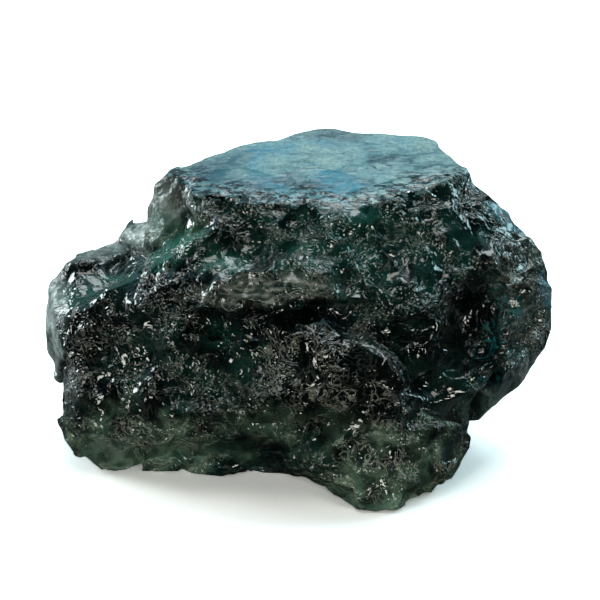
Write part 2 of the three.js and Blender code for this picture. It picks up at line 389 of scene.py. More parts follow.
def make_socket(tree: bpy.types.NodeTree, name: str, kind: str = "Float", out: bool = False) -> str:
    """Adds a named socket to a group.

    Args:
        tree: The group.
        name: The socket's name.
        kind: Its type, such as Float.
        out: Whether it is an output.

    Returns:
        The socket's identifier.
    """
    side = "OUTPUT" if out else "INPUT"
    return tree.interface.new_socket(name, in_out=side, socket_type="NodeSocket" + kind).identifier


# --- mesh helpers -----------------------------------------------------------------------------


def held(values: np.ndarray) -> np.ndarray:
    """Holds values between 0 and 1."""
    return np.clip(values, 0.0, 1.0)


def points_of(mesh: bpy.types.Mesh) -> np.ndarray:
    """Reads a mesh's points.

    Args:
        mesh: The mesh.

    Returns:
        One point a row, in metres.
    """
    points = np.empty(len(mesh.vertices) * 3)
    mesh.vertices.foreach_get("co", points)
    return points.reshape(-1, 3)


def put_points(mesh: bpy.types.Mesh, points: np.ndarray) -> None:
    """Moves a mesh's points to new places, one a row, in metres."""
    mesh.vertices.foreach_set("co", points.astype(np.float32).reshape(-1))


def stand(name: str, data: bpy.types.ID) -> bpy.types.Object:
    """Puts a mesh, a light or a camera in the scene.

    Args:
        name: The object's name.
        data: What it shows.

    Returns:
        The object.
    """
    thing = bpy.data.objects.new(name, data)
    bpy.context.scene.collection.objects.link(thing)
    return thing


# --- the broken relief ------------------------------------------------------------------------


@dataclass
class BrokenRelief:
    """Raises shell-like breaks and crests on a skin, by a Geometry Nodes tree."""

    settings: dict[str, float] = field(
        default_factory=lambda: {
            "Breaks per mm": 0.62,
            "Breaks detail": 1.6,
            "Breaks warp": 0.9,
            "Breaks height": 0.20,
            "Sink": 0.12,
            "Calm share": 0.75,
        }
    )

    def tree(self, material: bpy.types.Material) -> tuple[bpy.types.NodeTree, dict[str, str]]:
        """Builds the tree.

        Args:
            material: What the skin is made of.

        Returns:
            The Geometry Nodes tree, and the identifier of each named input.
        """
        tree = bpy.data.node_groups.new("broken_relief", "GeometryNodeTree")
        make_socket(tree, "Geometry", "Geometry", out=True)
        make_socket(tree, "Geometry", "Geometry")
        names = {name: make_socket(tree, name) for name in self.settings}
        for name in ("Low corner", "High corner"):
            names[name] = make_socket(tree, name, "Vector")
        nodes = Nodes(tree)
        start = nodes.add("NodeGroupInput").outputs
        position = nodes.add("GeometryNodeInputPosition").outputs[0]
        normal = nodes.add("GeometryNodeInputNormal").outputs[0]
        place = nodes.vector("SCALE", position, scale=1.0 / MM)
        crests, _, _ = add_fracture(
            nodes, place, start["Breaks per mm"], start["Breaks detail"], start["Breaks warp"]
        )
        total = nodes.less(nodes.times(crests, start["Breaks height"]), start["Sink"])
        calm = self.attribute(nodes, Zone.CALM.value)
        rough = nodes.less(1.0, nodes.times(calm, start["Calm share"]))
        flat = nodes.less(1.0, self.attribute(nodes, FLAT), clamp=True)
        offset = nodes.vector("SCALE", normal, scale=nodes.times(total, rough, flat, MM))
        target = nodes.vector("ADD", position, offset)
        target = nodes.vector("MAXIMUM", target, start["Low corner"])
        target = nodes.vector("MINIMUM", target, start["High corner"])
        move = nodes.add(
            "GeometryNodeSetPosition", {"Geometry": start["Geometry"], "Position": target}
        )
        real = nodes.add("GeometryNodeRealizeInstances", {"Geometry": move.outputs[0]})
        dress = nodes.add(
            "GeometryNodeSetMaterial", {"Geometry": real.outputs[0], "Material": material}
        )
        nodes.add("NodeGroupOutput", {"Geometry": dress.outputs[0]})
        return tree, names

    @staticmethod
    def attribute(nodes: Nodes, name: str) -> Socket:
        """Reads a named number of the skin."""
        node = nodes.add("GeometryNodeInputNamedAttribute", {"Name": name}, data_type="FLOAT")
        return node.outputs["Attribute"]

    def raise_on(self, piece: bpy.types.Object, material: bpy.types.Material, box: tuple) -> None:
        """Gives a piece its relief and makes the result its plain mesh.

        Args:
            piece: The piece, with a fine skin.
            material: What it is made of.
            box: The lowest and highest corners that it must stay between, in metres.
        """
        modifier = piece.modifiers.new("relief", "NODES")
        modifier.node_group, names = self.tree(material)
        values: dict[str, object] = dict(self.settings)
        values["Low corner"], values["High corner"] = box
        for name, identifier in names.items():
            modifier[identifier] = values[name]
        depsgraph = bpy.context.evaluated_depsgraph_get()
        mesh = bpy.data.meshes.new_from_object(piece.evaluated_get(depsgraph))
        piece.modifiers.remove(modifier)
        old = piece.data
        piece.data = mesh
        mesh.name = old.name
        bpy.data.meshes.remove(old)


# --- the finish -------------------------------------------------------------------------------


@dataclass(frozen=True)
class Tint:
    """A colour of the stone, as the light it gives back."""

    red: float
    green: float
    blue: float

    def rgba(self) -> tuple[float, float, float, float]:
        """Gives the colour with full cover."""
        return (self.red, self.green, self.blue, 1.0)


@dataclass(frozen=True)
class CrystalFinish:
    """Dark blue-green corundum: satin on the crown, glossy and finely broken elsewhere, with sheen,
    glints, lit rims, glow and shade painted into its colours.
    """

    name: str = "sapphire_crystal"
    black: Tint = Tint(0.002, 0.006, 0.006)
    dark_teal: Tint = Tint(0.009, 0.052, 0.041)
    teal: Tint = Tint(0.026, 0.135, 0.106)
    # The stone's green, made light to stand partly for light glowing through thin parts.
    green_and_glow: Tint = Tint(0.370, 0.620, 0.420)
    # Painted glow: green light seen through the stone.
    painted_glow: Tint = Tint(0.050, 0.300, 0.210)
    # Painted light on the lit slab, a greyish green.
    wear_and_sheen: Tint = Tint(0.300, 0.360, 0.310)
    # Painted turquoise glints on the knob.
    glint_turquoise: Tint = Tint(0.030, 0.340, 0.380)
    # The crown's blue is made light to stand partly for the sheen on its satin face; the darker
    # blue is also painted as shade, and the palest is painted sheen and sparkle.
    crown: Tint = Tint(0.070, 0.56, 0.79)
    crown_deep: Tint = Tint(0.018, 0.15, 0.23)
    crown_painted_sheen: Tint = Tint(0.64, 0.98, 0.95)
    # Light lips: partly the pale bruised edges of chips, partly painted glints.
    lip_and_glint: Tint = Tint(0.90, 0.92, 0.78)
    # Painted light on the lit left end, shoulder and rims.
    pale: Tint = Tint(0.76, 0.95, 0.91)
    refraction: float = 1.77
    see_through: float = 0.50
    body_colour: Tint = Tint(0.02, 0.50, 0.46)
    body_density: float = 900.0
    # Roughness: of glassy breaks, added on lips, and of the satin crown inland and at its rim.
    glassy: Range = (0.04, 0.13)
    lip_dull: float = 0.2
    satin_dull: Range = (0.36, 0.16)
    # Heights of the relief that is too fine for the skin, in millimetres.
    break_rise: float = 0.10
    lip_rise: float = 0.012
    ripple_rise: Range = (0.006, 0.021)
    crushed_rise: float = 0.018
    ledge_rise: float = 0.022
    grain_rise: float = 0.03
    crack_sink: float = 0.02
    rib_rise: float = 0.06

    def break_group(self) -> bpy.types.NodeTree:
        """Builds the shader group of fine breaks and their lips.

        Returns:
            The group.
        """
        tree = bpy.data.node_groups.new("fine_breaks", "ShaderNodeTree")
        make_socket(tree, "Place", "Vector")
        for name in ("Per mm", "Detail", "Warp", "Lip per mm", "Lip width"):
            make_socket(tree, name)
        for name, kind in {"Height": "Float", "Swirl": "Color", "Lip": "Float"}.items():
            make_socket(tree, name, kind, out=True)
        make_socket(tree, "Ripple", out=True)
        nodes = Nodes(tree)
        start = nodes.add("NodeGroupInput").outputs
        height, swirl, bent = add_fracture(
            nodes, start["Place"], start["Per mm"], start["Detail"], start["Warp"]
        )
        wide = nodes.times(start["Lip width"], nodes.ramp(height, 0.3, 1.0, to=(0.3, 1.4)))
        lip_and_glint = add_lines(nodes, bent, start["Lip per mm"], wide)
        curl = {"Vector": bent, "Scale": 1.3, "Distortion": 26.0, "Detail": 2.0}
        curl.update({"Detail Scale": 1.1, "Detail Roughness": 0.6})
        ripple = nodes.add("ShaderNodeTexWave", curl, bands_direction="DIAGONAL")
        outputs = {"Height": height, "Swirl": swirl, "Lip": lip_and_glint, "Ripple": ripple.outputs["Fac"]}
        nodes.add("NodeGroupOutput", outputs)
        return tree

    def satin_group(self) -> bpy.types.NodeTree:
        """Builds the shader group of the crown's own skin: mottling, cracks, grain and streaks.

        Returns:
            The group.
        """
        tree = bpy.data.node_groups.new("satin_crown", "ShaderNodeTree")
        make_socket(tree, "Place", "Vector")
        nodes = Nodes(tree)
        place = nodes.add("NodeGroupInput").outputs["Place"]

        def drawn_out(across: float, up: float, along: float = 1.0) -> Socket:
            """Stretches the pattern along the axes with low numbers."""
            return nodes.vector("MULTIPLY", place, (across, up, along))

        mottle = nodes.noise(drawn_out(0.6, 1.2), 1.0, 5.0, 0.6)
        crack = add_lines(nodes, drawn_out(1.3, 0.5), 1.1, 0.008)
        steps = nodes.times(nodes.noise(drawn_out(0.35, 1.0), 0.8, 4.0), 8.0)
        part = nodes.math("FRACT", steps)
        riser = nodes.ramp(part, 0.0, 0.16)
        outputs = {
            "Mottle": mottle,
            "Crack": nodes.times(crack, nodes.ramp(mottle, 0.50, 0.42)),
            "Grain": nodes.noise(drawn_out(0.7, 1.2), 5.0, 3.0),
            "Streak": nodes.noise(drawn_out(0.5, 2.6, 2.6), 2.4, 3.0),
            "Ledge": nodes.math("ADD", nodes.math("FLOOR", steps), riser),
            "Seam": nodes.ramp(part, 0.28, 0.06),
            "Speck": nodes.noise(place, 9.0, 1.0),
        }
        for name in outputs:
            make_socket(tree, name, out=True)
        nodes.add("NodeGroupOutput", outputs)
        return tree

    def read(self, nodes: Nodes) -> Reading:
        """Reads the skin's zones and patterns.

        Args:
            nodes: The material's nodes.

        Returns:
            Zones by their own names, and patterns by the names of their groups' sockets.
        """
        metres = nodes.add("ShaderNodeTexCoord").outputs["Object"]
        place = nodes.vector("SCALE", metres, scale=1.0 / MM)
        names = [zone.value for zone in Zone] + [CROWN, RIM, PAINTED_BRIM_LIGHT]
        read = {
            name: nodes.add("ShaderNodeAttribute", attribute_name=name).outputs["Fac"]
            for name in names
        }
        sizes = {"Per mm": 2.2, "Detail": 1.5, "Warp": 0.55, "Lip per mm": 1.7, "Lip width": 0.022}
        for tree, inputs in ((self.break_group(), sizes), (self.satin_group(), {})):
            group = nodes.add("ShaderNodeGroup", {"Place": place, **inputs}, node_tree=tree)
            read.update(group.outputs.items())
        swirl = nodes.add("ShaderNodeSeparateColor", {"Color": read["Swirl"]}).outputs
        read.update({"Swirl 1": swirl[0], "Swirl 2": swirl[1], "Swirl 3": swirl[2]})
        return read

    def mask(self, nodes: Nodes, read: Reading) -> None:
        """Works out where the crown, the lively breaks and their lips are; the lips' light paint is
        partly pale bruised edges and partly painted glints.

        Args:
            nodes: The material's nodes.
            read: The skin's zones and patterns, which the masks are added to.
        """
        chipped = nodes.ramp(read["Grain"], 0.42, 0.52, to=(-3.5, 0.0))
        crown = nodes.math("ADD", read["crown"], nodes.times(read["rim"], chipped), clamp=True)
        # The satin right rim takes the crown's colours in mottled patches, painted as a lit rim.
        lit_rim_mottle = nodes.ramp(read["Mottle"], 0.40, 0.54, to=(0.0, 0.8))
        crown = nodes.math("MAXIMUM", crown, nodes.times(read["satin"], lit_rim_mottle))
        away = nodes.less(nodes.less(1.0, crown), read["rim"], clamp=True)
        loud = nodes.less(1.0, nodes.times(read["calm"], 0.85))
        lively = nodes.ramp(read["Swirl 1"], 0.40, 0.56, to=(0.15, 1.0))
        loud = nodes.times(loud, away, lively)
        # Crests and curling hair lines get the light lip paint, partly pale bruised edges and
        # partly painted glints, thicker on crushed parts.
        edge = nodes.ramp(read["Height"], 1.15, 1.45)
        hair = nodes.ramp(read["Ripple"], 0.81, 0.97)
        tuft = nodes.times(
            nodes.ramp(read["Height"], 0.45, 0.80), nodes.ramp(read["Swirl 2"], 0.46, 0.56)
        )
        strewn = nodes.ramp(read["crushed"], 0.0, 1.0, to=(0.3, 0.85))
        strewn = nodes.times(strewn, nodes.ramp(read["Height"], 0.25, 0.55))
        hair = nodes.times(hair, nodes.math("MAXIMUM", tuft, strewn))
        edge = nodes.math("MAXIMUM", edge, hair)
        lip_and_glint = nodes.times(nodes.math("MAXIMUM", edge, read["Lip"]), loud)
        crack = nodes.times(read["Crack"], 0.8)
        read.update({"on crown": crown, "loud": loud, "strewn": strewn, "lip_and_glint": lip_and_glint, "crack": crack})

    def broken_colour(self, nodes: Nodes, read: Reading) -> Socket:
        """Mixes the broken faces: black and teal clouds, a green made light low down to stand
        partly for light glowing through the thin stone, and light lips that are partly pale bruised
        edges and partly painted glints; it also paints light on the lit slab, the left end and
        rims, turquoise glints on the knob, a green glow seen through thin parts, and shade in the
        hollow, the pit and under ledges.

        Args:
            nodes: The material's nodes.
            read: The skin's zones, patterns and masks.

        Returns:
            The colour.
        """
        height, mottle, swirl = read["Height"], read["Mottle"], read["Swirl 2"]
        cloudy = nodes.ramp(read["Swirl 3"], 0.38, 0.66)
        cloudy = nodes.less(cloudy, nodes.times(read["crushed"], 0.9), clamp=True)
        teal = nodes.times(read["teal"], nodes.ramp(swirl, 0.3, 0.62))
        teal = nodes.times(teal, nodes.ramp(height, 0.30, 0.70, to=(0.3, 1.0)))
        # Green made light low down, partly painted glow of light through the thin stone.
        green = nodes.times(read["green"], nodes.ramp(swirl, 0.3, 0.7))
        green = nodes.times(green, nodes.ramp(height, 0.15, 0.85, to=(0.35, 1.0)))
        # Painted light on the left end, shoulder and rims, broken up by grain, mottle and the
        # breaks' heights.
        painted_light_share = nodes.ramp(read["Grain"], 0.40, 0.55, to=(0.4, 1.0))
        painted_light_share = nodes.times(painted_light_share, nodes.ramp(mottle, 0.36, 0.50, to=(0.4, 1.0)))
        painted_light_share = nodes.times(painted_light_share, nodes.ramp(height, 0.30, 0.60, to=(0.35, 1.0)))
        # The lips' paint, partly painted glints, shows more on crushed and green parts.
        wear_and_sheen = nodes.times(read["crushed"], nodes.ramp(swirl, 0.42, 0.6))
        shown = nodes.math("ADD", 0.26, nodes.times(wear_and_sheen, 0.2))
        shown = nodes.math("ADD", shown, nodes.times(read["crushed"], 0.35))
        shown = nodes.math("ADD", shown, nodes.times(read["green"], 0.55), clamp=True)
        # Painted light: the lit slab is painted lighter, with bright streaks painted as glints
        # along its striations.
        lit = nodes.times(read["lit_streak"], nodes.ramp(read["Streak"], 0.3, 0.55))
        streak_glint = nodes.times(nodes.ramp(read["Streak"], 0.5, 0.66), read["lit_streak"])
        # Painted turquoise glints on crests of the knob.
        glint_share = nodes.times(read["painted_glint"], nodes.ramp(height, 0.75, 1.15))
        glint_share = nodes.times(glint_share, nodes.ramp(mottle, 0.46, 0.56))
        # Painted glow of green light seen through the stone, in mottled panes.
        glow_share = nodes.times(read["painted_glow"], nodes.ramp(mottle, 0.36, 0.56))
        coats = (
            (cloudy, self.dark_teal),
            (teal, self.teal),
            (green, self.green_and_glow),
            (nodes.times(read["pale"], painted_light_share), self.pale),
            (nodes.times(lit, 0.8), self.wear_and_sheen),
            (nodes.times(streak_glint, 0.8), self.lip_and_glint),
            (nodes.times(read["lip_and_glint"], shown), self.lip_and_glint),
            # Painted shade: black where the stone lies in shade.
            (nodes.times(read["deep"], 0.85), self.black),
            (nodes.times(glint_share, 0.8), self.glint_turquoise),
            (glow_share, self.painted_glow),
        )
        return self.coat(nodes, self.black, coats)

    def crown_colour(self, nodes: Nodes, read: Reading) -> Socket:
        """Mixes the flat crown: a mottled light blue that stands partly for the sheen on its satin
        face, pale flecks painted as sparkle, painted sheen towards the back and along the back rim,
        painted shade on the left, a darker front rim, darker lines along the ledge steps and dark
        cracks.

        Args:
            nodes: The material's nodes.
            read: The skin's zones, patterns and masks.

        Returns:
            The colour.
        """
        deep, pale = self.crown_deep, self.crown_painted_sheen
        rim, grain = read["rim"], read["Grain"]
        # Pale flecks painted as sparkle, stronger along the front rim.
        sparkle_share = nodes.math("ADD", 0.35, nodes.times(rim, 0.65), clamp=True)
        seam = nodes.times(read["Seam"], read["ledge"], nodes.ramp(grain, 0.42, 0.52))
        coats = (
            (nodes.ramp(read["Mottle"], 0.36, 0.54), self.crown),
            # Painted shade on the crown's left.
            (nodes.times(read["deep"], 0.8), deep),
            (nodes.times(rim, 0.85), deep),
            (nodes.times(nodes.ramp(grain, 0.50, 0.64), sparkle_share), pale),
            # Painted sheen, paler towards the crown's back.
            (nodes.times(read["painted_sheen"], nodes.ramp(read["Mottle"], 0.3, 0.6)), pale),
            # Painted rim light along the crown's back edges.
            (nodes.times(read["painted_brim_light"], 0.8), pale),
            (nodes.times(seam, 0.8), deep),
            (read["crack"], self.dark_teal),
            (nodes.ramp(read["Speck"], 0.62, 0.38, to=(0.0, 0.36)), deep),
        )
        return self.coat(nodes, deep, coats)

    @staticmethod
    def coat(nodes: Nodes, ground: Tint, coats: tuple) -> Socket:
        """Lays colours over a ground, one on another.

        Args:
            nodes: The material's nodes.
            ground: The colour underneath.
            coats: How much of each colour shows, and the colour.

        Returns:
            The colour.
        """
        colour: object = ground.rgba()
        for share, tint in coats:
            colour = nodes.blend(share, colour, tint.rgba())
        return colour

    def gloss(self, nodes: Nodes, read: Reading) -> Socket:
        """Works out the roughness: satin on the crown, glassy elsewhere, with dull lips.

        Args:
            nodes: The material's nodes.
            read: The skin's zones, patterns and masks.

        Returns:
            The roughness.
        """
        gloss = nodes.ramp(read["Swirl 3"], 0.3, 0.7, to=self.glassy)
        gloss = nodes.math("ADD", gloss, nodes.times(read["lip_and_glint"], self.lip_dull))
        satiny = nodes.math("MAXIMUM", read["on crown"], nodes.times(read["pale"], 0.9))
        satiny = nodes.times(satiny, nodes.ramp(read["rim"], 0.0, 1.0, to=self.satin_dull))
        return nodes.math("MAXIMUM", gloss, satiny)

    def rise(self, nodes: Nodes, read: Reading) -> Socket:
        """Works out the relief that is too fine for the skin.

        Args:
            nodes: The material's nodes.
            read: The skin's zones, patterns and masks.

        Returns:
            The height, in millimetres.
        """
        peaked = nodes.math("POWER", nodes.times(read["Height"], 0.8), 2.6)
        rise = nodes.times(peaked, self.break_rise)
        rise = nodes.math("ADD", rise, nodes.times(read["Lip"], self.lip_rise))
        rippled = nodes.ramp(read["Swirl 2"], 0.42, 0.56, to=self.ripple_rise)
        rippled = nodes.math("MAXIMUM", rippled, nodes.times(read["strewn"], self.crushed_rise))
        rise = nodes.math("ADD", rise, nodes.times(read["Ripple"], rippled))
        rise = nodes.times(rise, read["loud"])
        ledge = nodes.times(read["Ledge"], self.ledge_rise, read["ledge"])
        rise = nodes.math("ADD", rise, ledge)
        grain = nodes.times(read["Grain"], self.grain_rise)
        grain = nodes.less(grain, nodes.times(read["crack"], self.crack_sink))
        grained = nodes.math("MAXIMUM", read["on crown"], nodes.times(read["pale"], 2.2))
        grained = nodes.math("ADD", grained, nodes.times(read["rim"], 0.9))
        rise = nodes.math("ADD", rise, nodes.times(grain, grained))
        ribs = nodes.times(read["Streak"], read["lit_streak"], self.rib_rise)
        return nodes.math("ADD", rise, ribs)

    def material(self) -> bpy.types.Material:
        """Builds the material.

        Returns:
            The material.
        """
        material = bpy.data.materials.new(self.name)
        nodes = Nodes.bare(material)
        read = self.read(nodes)
        self.mask(nodes, read)
        broken, crown = self.broken_colour(nodes, read), self.crown_colour(nodes, read)
        bump = nodes.add(
            "ShaderNodeBump",
            {"Height": self.rise(nodes, read), "Distance": MM, "Strength": 1.0},
        )
        skin = nodes.add(
            "ShaderNodeBsdfPrincipled",
            {
                "Base Color": nodes.blend(read["on crown"], broken, crown),
                "Roughness": self.gloss(nodes, read),
                "Normal": bump.outputs["Normal"],
                "IOR": self.refraction,
                "Transmission Weight": self.see_through,
            },
        )
        body = nodes.add(
            "ShaderNodeVolumeAbsorption",
            {"Color": self.body_colour.rgba(), "Density": self.body_density},
        )
        nodes.add(
            "ShaderNodeOutputMaterial",
            {"Surface": skin.outputs["BSDF"], "Volume": body.outputs["Volume"]},
        )
        return material


# --- the stone --------------------------------------------------------------------------------


@dataclass
class FineSkin:
    """A closed skin of triangles that can be cut finer without moving it."""

    points: np.ndarray
    triangles: np.ndarray

    def cut_finer(self, longest: float) -> None:
        """Halves every edge that is too long until none is.

        Args:
            longest: The longest edge that stays, in metres.
        """
        while self.cut_once(longest):
            LOG.debug("skin: %d triangles", len(self.triangles))

    def cut_once(self, longest: float) -> bool:
        """Halves the edges that are too long, and cuts their triangles to suit.

        Args:
            longest: The longest edge that stays, in metres.

        Returns:
            Whether there was any.
        """
        sides = np.sort(self.triangles[:, [[0, 1], [1, 2], [2, 0]]].reshape(-1, 2), axis=1)
        edges, which = np.unique(sides, axis=0, return_inverse=True)
        ends = self.points[edges]
        long = np.linalg.norm(ends[:, 0] - ends[:, 1], axis=1) > longest
        if not long.any():
            return False
        middle = np.full(len(edges), -1)
        middle[long] = len(self.points) + np.arange(long.sum())
        self.points = np.concatenate([self.points, ends[long].mean(axis=1)])
        halves = middle[which.reshape(-1)].reshape(-1, 3)
        count = (halves >= 0).sum(axis=1)
        first = np.zeros(len(halves), int)
        one, two = count == 1, count == 2
        first[one] = np.argmax(halves[one] >= 0, axis=1)
        first[two] = (np.argmin(halves[two], axis=1) + 1) % 3
        turn = (first[:, None] + np.arange(3)) % 3
        corners = np.take_along_axis(self.triangles, turn, axis=1)
        halves = np.take_along_axis(halves, turn, axis=1)
        self.triangles = self.pieces_of(corners, halves, count)
        return True

    def pieces_of(self, corners: np.ndarray, halves: np.ndarray, count: np.ndarray) -> np.ndarray:
        """Cuts each triangle at the middles of its long edges.

        Args:
            corners: The triangles, turned so that an edge to cut comes first.
            halves: The middle of each edge, or -1.
            count: How many edges of each are cut.

        Returns:
            The new triangles.
        """
        a, b, c = corners.T
        ab, bc, ca = halves.T
        kept = corners[count == 0]
        one, two, three = count == 1, count == 2, count == 3
        halved = [(a, ab, c), (ab, b, c)]
        reach = self.points[np.stack([a, bc, ab, c], axis=1)]
        shorter = np.linalg.norm(reach[:, 0] - reach[:, 1], axis=1) < np.linalg.norm(
            reach[:, 2] - reach[:, 3], axis=1
        )
        near, far = two & shorter, two & ~shorter
        cut = [(one, halved), (two, [(ab, b, bc)])]
        cut += [(near, [(a, ab, bc), (a, bc, c)]), (far, [(a, ab, c), (ab, bc, c)])]
        cut += [(three, [(a, ab, ca), (ab, b, bc), (ca, bc, c), (ab, bc, ca)])]
        made = [np.stack(part, axis=1)[rows] for rows, parts in cut for part in parts]
        return np.concatenate([kept, *made])

    def mesh(self, name: str) -> bpy.types.Mesh:
        """Makes a mesh of the skin.

        Args:
            name: The mesh's name.

        Returns:
            The mesh.
        """
        mesh = bpy.data.meshes.new(name)
        count = len(self.triangles)
        mesh.vertices.add(len(self.points))
        put_points(mesh, self.points)
        mesh.loops.add(3 * count)
        mesh.loops.foreach_set("vertex_index", self.triangles.astype(np.int32).reshape(-1))
        mesh.polygons.add(count)
        mesh.polygons.foreach_set("loop_start", np.arange(0, 3 * count, 3, dtype=np.int32))
        mesh.update(calc_edges=True)
        return mesh


